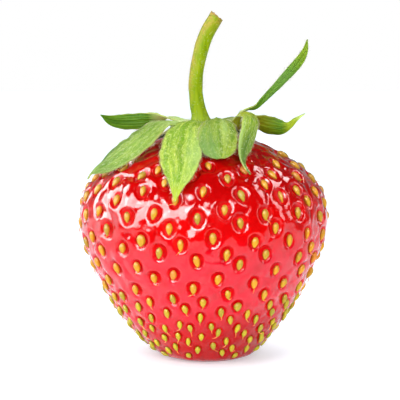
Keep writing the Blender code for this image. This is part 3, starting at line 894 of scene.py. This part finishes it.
def make_leaf(name, shape, finishes, seed):
    """A leaf: a flat strip of its outline with ribs and lumps, bent along its spine and thickened.

    Returns the bent strip as a grid of points for its hairs.
    """
    deselect()
    bpy.ops.mesh.primitive_grid_add(x_subdivisions=LEAF_ALONG, y_subdivisions=LEAF_ACROSS, size=1.0)
    leaf = added(name)
    co = points_of(leaf.data)
    u = co[:, 0] + 0.5
    v = co[:, 1] * 2.0
    reach, widths, length = leaf_half_width(shape["spine"])
    half = np.interp(u * length, reach, widths)
    part = half / widths.max()
    teeth = 1.0 + LEAF_TEETH * np.sin(u * 47.0 + np.sign(v)) * np.clip(part, 0, 1)
    bow = np.sqrt(v * v + 0.012) - 0.11
    lift = shape["cup"] * v * v * part ** 2 + shape["fold"] * bow * part
    lift += shape["ripple"] * np.abs(v) ** 3 * part * np.sin(u * length * 2.1 + v * 1.3 + seed)
    lift += MIDRIB_RISE * np.exp(-(v * half / MIDRIB_WIDTH) ** 2) * (1.0 - 0.7 * u)
    along, across = u * length, v * half
    wander = clouds(along * 0.5, across * 0.5, seed + 5)
    ribs = np.sin((np.abs(v) * RIBS_EACH_SIDE + wander * 0.5) * math.tau)
    lumps = clouds(along * 0.9, across * 1.5, seed)
    grain = clouds(along * 2.0, across * 4.0, seed + 9)
    lift += shape.get("bumps", 1.0) * (RIB_RISE * ribs * np.clip(half / 0.9, 0, 1) * (1.0 - v ** 4)
                                       + (LUMP_RISE * lumps + GRAIN_RISE * grain) * part)
    set_points(leaf.data, np.stack([along, across * teeth, lift], axis=1) * MM)

    guide = spine_curve(name + "_spine", shape["spine"])
    bpy.context.view_layer.objects.active = leaf
    bend = leaf.modifiers.new("bend", "CURVE")
    bend.object = guide
    bend.deform_axis = "POS_X"
    bpy.ops.object.modifier_apply(modifier="bend")
    bpy.data.objects.remove(guide)
    grid = points_of(leaf.data).reshape(LEAF_ACROSS + 1, LEAF_ALONG + 1, 3) / MM
    for key in LEAF_TINTS:
        tint = shape.get(key, 0.0)
        tint = tint(u, v) if callable(tint) else np.full(len(u), tint)
        set_attribute(leaf.data, key, np.clip(tint, 0.0, 1.0))
    for item in finishes:
        leaf.data.materials.append(item)
    thick = leaf.modifiers.new("thickness", "SOLIDIFY")
    thick.thickness = LEAF_THICKNESS * MM
    thick.offset = 0.0
    thick.material_offset = 1
    thick.material_offset_rim = 2
    bpy.ops.object.modifier_apply(modifier="thickness")
    leaf.data.shade_smooth()
    keep(leaf, shape["node"])
    return grid


def strand_template():
    """A hair: a thin three-sided thread, tapered and slightly curved, one unit long."""
    deselect()
    bpy.ops.mesh.primitive_cone_add(vertices=3, radius1=1.0, radius2=0.35, depth=2.0, end_fill_type="NGON",
                                    rotation=LAID_ALONG_Y)
    strand = rolled()
    cut_across(strand.data, (-0.3, 0.35))
    co = points_of(strand.data)
    t = (co[:, 1] + 1.0) / 2.0
    co[:, 1] = t
    co[:, 2] += 5.0 * t * t
    set_points(strand.data, co)
    mesh = strand.data.copy()
    bpy.data.objects.remove(strand)
    return mesh


def hair_place(root, way, bend_to, length, thick):
    """Place of a hair that grows from its root along way and bends towards bend_to."""
    way = unit(way)
    out = unit(bend_to - way * bend_to.dot(way))
    return place_matrix(np.cross(way, out), way, out, root, (thick, length, thick))


def leaf_hairs(grid, count, edge_count, rng):
    """Places of the hairs of one leaf: lying along its outer face, and standing off its edges."""
    rows, cols = grid.shape[:2]
    tangent = unit(np.gradient(grid, axis=1))
    cross = unit(np.gradient(grid, axis=0))
    normal = unit(np.cross(tangent, cross))
    weight = np.linalg.norm(grid[-1] - grid[0], axis=1) + 0.4
    total = np.cumsum(weight / weight.sum())
    places = []
    for k in range(count + edge_count):
        i = int(np.searchsorted(total, rng.random()))
        i = min(max(i, 2), cols - 3)
        edge = k >= count
        j = rng.choice((0, rows - 1)) if edge else rng.randrange(rows)
        t, c, n = tangent[j, i], cross[j, i], normal[j, i]
        outward = c * (1 if j > rows // 2 else -1)
        if edge:
            way = outward + t * rng.uniform(0.5, 1.6) + n * rng.uniform(-0.4, 0.7)
            length = rng.uniform(0.25, 0.6)
        else:
            way = t + c * rng.uniform(-0.7, 0.7) + n * rng.uniform(0.12, 0.5)
            length = rng.uniform(0.3, 0.7)
        root = grid[j, i] + t * rng.uniform(-0.1, 0.1) + c * rng.uniform(-0.08, 0.08) + n * 0.08
        places.append(hair_place(root, way, t - n * 0.3, length, rng.uniform(0.008, 0.014)))
    return places


# ---------------------------------------------------------------- stalk and disc

# The stalk's middle line from inside the disc to the cut: x, y, z and radius, mm
STEM_LINE = [
    (-0.6, 0.0, 32.6, 2.2), (-0.65, 0.0, 33.3, 1.45), (-0.8, 0.0, 34.2, 1.12), (-1.1, 0.0, 35.5, 1.04),
    (-1.3, 0.0, 37.5, 0.98), (-1.2, 0.0, 39.8, 0.95), (-0.8, 0.1, 42.0, 0.97), (-0.2, 0.2, 44.2, 1.02),
    (0.5, 0.2, 45.8, 1.04), (1.3, 0.2, 47.2, 1.02), (2.3, 0.2, 48.8, 1.00),
]
STEM_CUT_AT = (1.64, 0.2, 47.78)    # middle of the slanted cut, and the way it faces
STEM_CUT_FACING = (0.63, 0.1, 0.77)
STEM_FRAYED = (46.8, 47.8)      # heights over which the skin gets ragged towards the cut
STEM_HAIRY = (33.6, 47.0)
STEM_SIDES = 56
STEM_RINGS = 150
CUT_RINGS = 12
CUT_HOLLOW = 0.22               # how far the cut's face dips inside its rim
CUT_PITH = 0.15                 # and how far its middle stands up again


def make_stem():
    """The stalk: a sheet rolled into a tube along its line, its end drawn in over the slanted cut."""
    deselect()
    rings = STEM_RINGS + CUT_RINGS
    bpy.ops.mesh.primitive_grid_add(x_subdivisions=rings, y_subdivisions=STEM_SIDES, size=1.0)
    stem = added("stalk")
    co = points_of(stem.data)
    row = np.rint((co[:, 0] + 0.5) * rings).astype(int)
    angle = (co[:, 1] + 0.5) * math.tau
    line = smooth_line([(x, y, z) for x, y, z, _ in STEM_LINE], 16)
    axis = np.array([tuple(p) for p in line])
    share = np.minimum(row, STEM_RINGS) / STEM_RINGS * (len(axis) - 1)
    steps = np.arange(len(axis))
    middle = np.stack([np.interp(share, steps, axis[:, k]) for k in range(3)], axis=1)
    heading = unit(np.gradient(axis, axis=0))
    ahead = np.stack([np.interp(share, steps, heading[:, k]) for k in range(3)], axis=1)
    right = unit(np.cross((0.0, 1.0, 0.0), ahead))
    rear = np.cross(ahead, right)
    marks = smooth_line([(z, r, 0.0) for _, _, z, r in STEM_LINE], 8)
    height = middle[:, 2]
    round_x, round_y = np.cos(angle), np.sin(angle)
    radius = np.interp(height, [p.x for p in marks], [p.y for p in marks])
    radius += 0.014 * np.cos(angle * 7 + height * 0.25) + 0.008 * np.cos(angle * 12 - height * 0.5)
    radius += 0.08 * clouds(round_x * 1.1, round_y * 1.1, height * 0.45)
    radius += 0.12 * clouds(round_x * 3.2, round_y * 3.2, height * 0.2 + 9.0) * rise(height, *STEM_FRAYED)
    skin = middle + right * (radius * round_x)[:, None] + rear * (radius * round_y)[:, None]

    facing = unit(np.array(STEM_CUT_FACING))
    toward_cut = ahead @ facing
    over = (skin - STEM_CUT_AT) @ facing - 0.16 * clouds(round_x * 2.4, round_y * 2.4, 4.0)
    skin -= ahead * (np.maximum(over, 0.0) / np.maximum(toward_cut, 0.2))[:, None]
    inward = rise(row, STEM_RINGS, rings)
    centre = middle - ahead * (((middle - STEM_CUT_AT) @ facing) / toward_cut)[:, None]
    hollow = CUT_HOLLOW * rise(inward, 0.0, 0.4) - CUT_PITH * rise(inward, 0.75, 1.0)
    hollow += 0.09 * clouds(round_x * 5 * (1 - inward), round_y * 5 * (1 - inward), 8.0) * (inward > 0)
    drawn = skin + (centre - skin) * inward[:, None] - facing * hollow[:, None]
    skin = np.where((row >= STEM_RINGS)[:, None], drawn, skin)
    skin[row == 0] = middle[row == 0]
    set_points(stem.data, skin * MM)
    left = np.clip(-round_x * 1.3 - 0.1, 0, 1) * rise(height, 35.5, 38.5)
    set_attribute(stem.data, "tan_side", np.clip(left + 0.7 * rise(skin[:, 2], 44.5, 47.5), 0, 1))
    set_attribute(stem.data, "browned", np.clip(rise(over, -0.9, -0.1) * 0.8 + inward * 0.4, 0, 1))
    bpy.ops.object.mode_set(mode="EDIT")
    bpy.ops.mesh.select_all(action="SELECT")
    bpy.ops.mesh.remove_doubles(threshold=5e-7)
    bpy.ops.mesh.normals_make_consistent(inside=False)
    bpy.ops.object.mode_set(mode="OBJECT")
    stem.data.materials.append(stem_finish())
    stem.data.shade_smooth()
    keep(stem, "stem")
    return axis


def stem_hairs(axis, count, rng):
    """Places of the hairs that stand off the stalk."""
    places = []
    for _ in range(count):
        height = rng.uniform(*STEM_HAIRY)
        i = int(np.argmin(np.abs(axis[:, 2] - height)))
        radius = float(np.interp(height, [p[2] for p in STEM_LINE], [p[3] for p in STEM_LINE]))
        angle = rng.uniform(0, math.tau)
        out = np.array([math.cos(angle), math.sin(angle), 0.0])
        root = np.array([axis[i, 0], axis[i, 1], height]) + out * (radius - 0.03)
        way = out + np.array([rng.uniform(-0.3, 0.3), rng.uniform(-0.3, 0.3), rng.uniform(-0.1, 0.9)])
        places.append(hair_place(root, way, np.array([0, 0, 1.0]),
                                 rng.uniform(0.25, 0.7), rng.uniform(0.008, 0.013)))
    return places


def cap_hairs(count, rng):
    """Places of the pale tuft round the foot of the stalk: roots on the disc, ends outwards and up."""
    places = []
    for _ in range(count):
        angle = rng.uniform(0, math.tau)
        out = np.array([math.cos(angle), math.sin(angle), 0.0])
        reach = rng.uniform(1.2, 3.4)
        root = np.array([-0.5, 0.0, 33.2 - 0.12 * reach]) + out * reach
        way = out * rng.uniform(0.4, 1.4)
        way += [rng.uniform(-0.8, 0.8), rng.uniform(-0.8, 0.8), rng.uniform(0.3, 1.2)]
        places.append(hair_place(root, way, np.array([0, 0, -1.0]),
                                 rng.uniform(0.4, 1.0), rng.uniform(0.010, 0.016)))
    return places


DISC_RADIUS = 4.1
DISC_HEIGHT = 32.15             # of its widest part
DISC_ASIDE = -0.4


def make_disc():
    """The disc of the cap: a low mound, ribbed where the leaves spring from it."""
    deselect()
    bpy.ops.mesh.primitive_uv_sphere_add(segments=96, ring_count=28, radius=1.0)
    disc = added("cap_disc")
    co = points_of(disc.data)
    angle = np.arctan2(co[:, 1], co[:, 0])
    out = np.hypot(co[:, 0], co[:, 1])
    upper = np.clip(co[:, 2], 0, 1)
    radius = DISC_RADIUS * out * (1.0 + 0.10 * np.cos(angle * 10 + 0.6) * out)
    height = DISC_HEIGHT + np.where(co[:, 2] > 0, 1.1 * upper ** 0.8, 0.75 * co[:, 2])
    height += 0.10 * np.cos(angle * 20) * out * upper + 0.12 * clouds(*(co * 3).T)
    set_points(disc.data, np.stack([
        radius * np.cos(angle) + DISC_ASIDE, radius * np.sin(angle), height], axis=1) * MM)
    disc.data.materials.append(plain_finish("cap_disc", (0.55, 0.66, 0.16), (0.26, 0.36, 0.05), 0.5, 0.55))
    disc.data.shade_smooth()
    keep(disc, "calyx_disc")


# ---------------------------------------------------------------- build

FACE_HAIRS = 330                # on the face and along the edges of each leaf
EDGE_HAIRS = 230
CAP_HAIRS = 520
STALK_HAIRS = 420

make_flesh()
make_seeds()
make_styles()
faces = {
    "plain": leaf_finish("leaf_outer", (0.54, 0.68, 0.10), (0.24, 0.42, 0.018), (0.15, 0.34, 0.006), 0.5),
    "bright": leaf_finish("leaf_bright", (0.68, 0.82, 0.09), (0.16, 0.39, 0.003), (0.16, 0.38, 0.005), 0.5,
                          (0.96, 1.0, 0.42), 0.95),
    "smooth": leaf_finish("leaf_smooth", (0.53, 0.64, 0.05), (0.13, 0.29, 0.004), (0.12, 0.30, 0.005), 0.45,
                          (0.86, 0.92, 0.44), 0.9),
    "pale": leaf_finish("leaf_pale", (0.54, 0.70, 0.13), (0.17, 0.34, 0.020), (0.14, 0.32, 0.01), 0.5,
                        (0.80, 0.88, 0.50), 0.7),
}
inner = leaf_finish("leaf_inner", (0.17, 0.36, 0.012), (0.030, 0.13, 0.002), (0.20, 0.38, 0.02), 0.38,
                    (0.34, 0.56, 0.10), 0.1, 0.08, 0.4)
rim = plain_finish("leaf_rim", (0.52, 0.62, 0.12), (0.30, 0.42, 0.04), 0.5, 0.5)
hair_rng = random.Random(5)
hair_places = []
for index, (leaf_name, leaf_shape) in enumerate(LEAVES.items()):
    leaf_finishes = (faces[leaf_shape.get("face", "plain")], inner, rim)
    leaf_grid = make_leaf(leaf_name, leaf_shape, leaf_finishes, index * 3.7)
    hair_places += leaf_hairs(leaf_grid, FACE_HAIRS, EDGE_HAIRS, hair_rng)
stem_axis = make_stem()
make_disc()
strand = strand_template()
hair = plain_finish("hair", (0.84, 0.88, 0.62), (0.70, 0.76, 0.42), 0.5, 0.4)
keep(strewn("leaf_hairs", strand, hair_places, hair))
keep(strewn("cap_hairs", strand, cap_hairs(CAP_HAIRS, hair_rng), hair))
keep(strewn("stalk_hairs", strand, stem_hairs(stem_axis, STALK_HAIRS, hair_rng), hair))

# ---------------------------------------------------------------- floor, light and camera

FLOOR_WIDTH = 0.9               # metres, as are the other sizes of this section
FLOOR_FRONT = -0.060
FLOOR_REAR = 0.42
FLOOR_BELOW = 0.00002
ROOM_SOFT = 0.22                # strength of the room's light on the surfaces
ROOM_BACK = 0.4                 # how bright its back is in reflections
LIGHT_DISTANCE = 0.40
CAMERA_AIM = (-0.0007, 0.0, 0.02205)
CAMERA_RAISED = 8.0             # degrees
CAMERA_DISTANCE = 0.300
CAMERA_FIELD = 0.056            # width in view at the fruit
CAMERA_SENSOR = 36.0


def make_floor():
    """A white floor that glows from beneath, with a painted contact shadow: its glow is dimmer where the
    fruit stands, so it is a little darker there.
    """
    deselect()
    bpy.ops.mesh.primitive_plane_add(size=1.0)
    floor = added("floor")
    co = points_of(floor.data)
    co[:, 0] *= FLOOR_WIDTH
    co[:, 1] = np.where(co[:, 1] < 0, FLOOR_FRONT, FLOOR_REAR)
    co[:, 2] = -FLOOR_BELOW
    set_points(floor.data, co)
    f = Finish("floor_white", IOR=1.45, Specular_IOR_Level=0.2, Emission_Strength=0.8)
    cloud = f.noise(30.0, 2.0, 0.5)
    away = Value(f, f.node("VectorMath", {"operation": "LENGTH"}, {0: f.place}).outputs["Value"])
    # painted contact shadow: the floor's glow is dimmed round the fruit's foot, fading out by 17 mm from it
    clear = (away / MM).between(4.0, 17.0)
    floor.data.materials.append(f.finish(
        Base_Color=f.mix(cloud, (0.66, 0.68, 0.72), (0.68, 0.70, 0.74)), Roughness=0.7 + cloud * 0.05,
        Emission_Color=f.mix(clear, (0.42, 0.46, 0.48), (0.88, 0.99, 1.08))))


def soft_light(name, azimuth, elevation, width, height, power, distance=LIGHT_DISTANCE,
               diffuse=True, glossy=True):
    """An area light facing the fruit.  Azimuth 0 is the camera's side and grows to the right."""
    data = bpy.data.lights.new(name, "AREA")
    data.shape = "RECTANGLE"
    data.size = width
    data.size_y = height
    data.energy = power
    light = bpy.data.objects.new(name, data)
    bpy.context.scene.collection.objects.link(light)
    a, e = math.radians(azimuth), math.radians(elevation)
    way = Vector((math.sin(a) * math.cos(e), -math.cos(a) * math.cos(e), math.sin(e)))
    light.location = Vector((0, 0, 0.018)) + way * distance
    light.rotation_euler = (-way).to_track_quat("-Z", "Y").to_euler()
    light.visible_diffuse = diffuse
    light.visible_glossy = glossy
    light.visible_camera = False


def make_world():
    """White to the camera, an even soft light on the surfaces, and a room dark in front in reflections."""
    world = bpy.data.worlds.new("studio")
    bpy.context.scene.world = world
    world.use_nodes = True
    tree = world.node_tree
    tree.nodes.clear()

    def node(kind, **values):
        made = tree.nodes.new("ShaderNode" + kind)
        for name, value in values.items():
            made.inputs[name.replace("_", " ")].default_value = value
        return made

    seen = node("Background", Color=(1, 1, 1, 1), Strength=1.0)
    soft = node("Background", Color=(1, 1, 1, 1), Strength=ROOM_SOFT)
    room = node("Background", Color=(1, 1, 1, 1))
    place = node("TexCoord")
    split = node("SeparateXYZ")
    back = node("MapRange", From_Min=-0.1, From_Max=0.9, To_Min=0.015, To_Max=ROOM_BACK)
    low = node("MapRange", From_Min=0.1, From_Max=0.55, To_Min=1.0, To_Max=0.06)
    glow = node("Math")
    glow.operation = "MULTIPLY"
    path = node("LightPath")
    glossy = node("MixShader")
    both = node("MixShader")
    for start, end in (
        (place.outputs["Generated"], split.inputs[0]),
        (split.outputs["Y"], back.inputs["Value"]),
        (split.outputs["Z"], low.inputs["Value"]),
        (back.outputs[0], glow.inputs[0]),
        (low.outputs[0], glow.inputs[1]),
        (glow.outputs[0], room.inputs["Strength"]),
        (path.outputs["Is Glossy Ray"], glossy.inputs[0]),
        (soft.outputs[0], glossy.inputs[1]),
        (room.outputs[0], glossy.inputs[2]),
        (path.outputs["Is Camera Ray"], both.inputs[0]),
        (glossy.outputs[0], both.inputs[1]),
        (seen.outputs[0], both.inputs[2]),
        (both.outputs[0], node("OutputWorld").inputs["Surface"]),
    ):
        tree.links.new(start, end)


def make_camera():
    """The camera, a little above the fruit and in front of it."""
    scene = bpy.context.scene
    camera = bpy.data.objects.new("camera", bpy.data.cameras.new("camera"))
    scene.collection.objects.link(camera)
    scene.camera = camera
    raised = math.radians(CAMERA_RAISED)
    toward = Vector((0, -math.cos(raised), math.sin(raised)))
    camera.location = Vector(CAMERA_AIM) + toward * CAMERA_DISTANCE
    camera.rotation_euler = (-toward).to_track_quat("-Z", "Y").to_euler()
    camera.data.sensor_width = CAMERA_SENSOR
    camera.data.lens = CAMERA_SENSOR * CAMERA_DISTANCE / CAMERA_FIELD
    camera.data.clip_start = 0.01
    scene.view_settings.view_transform = "Standard"


make_floor()
make_world()
make_camera()
soft_light("key", -45, 30, 0.20, 0.20, 0.85, glossy=False)
soft_light("front", 14, 18, 0.20, 0.16, 1.02, glossy=False)
soft_light("back", 180, 40, 0.5, 0.4, 0.5, distance=0.5, glossy=False)
soft_light("window_left", -88, 26, 0.46, 0.34, 6.0, diffuse=False)
soft_light("window_front", -30, 24, 0.40, 0.28, 5.2, diffuse=False)
soft_light("window_small", -1, 33, 0.15, 0.22, 1.55, diffuse=False)
soft_light("window_over", 108, 50, 0.20, 0.12, 0.7, diffuse=False)
soft_light("strip_right", 76, 32, 0.13, 0.40, 1.2, diffuse=False)
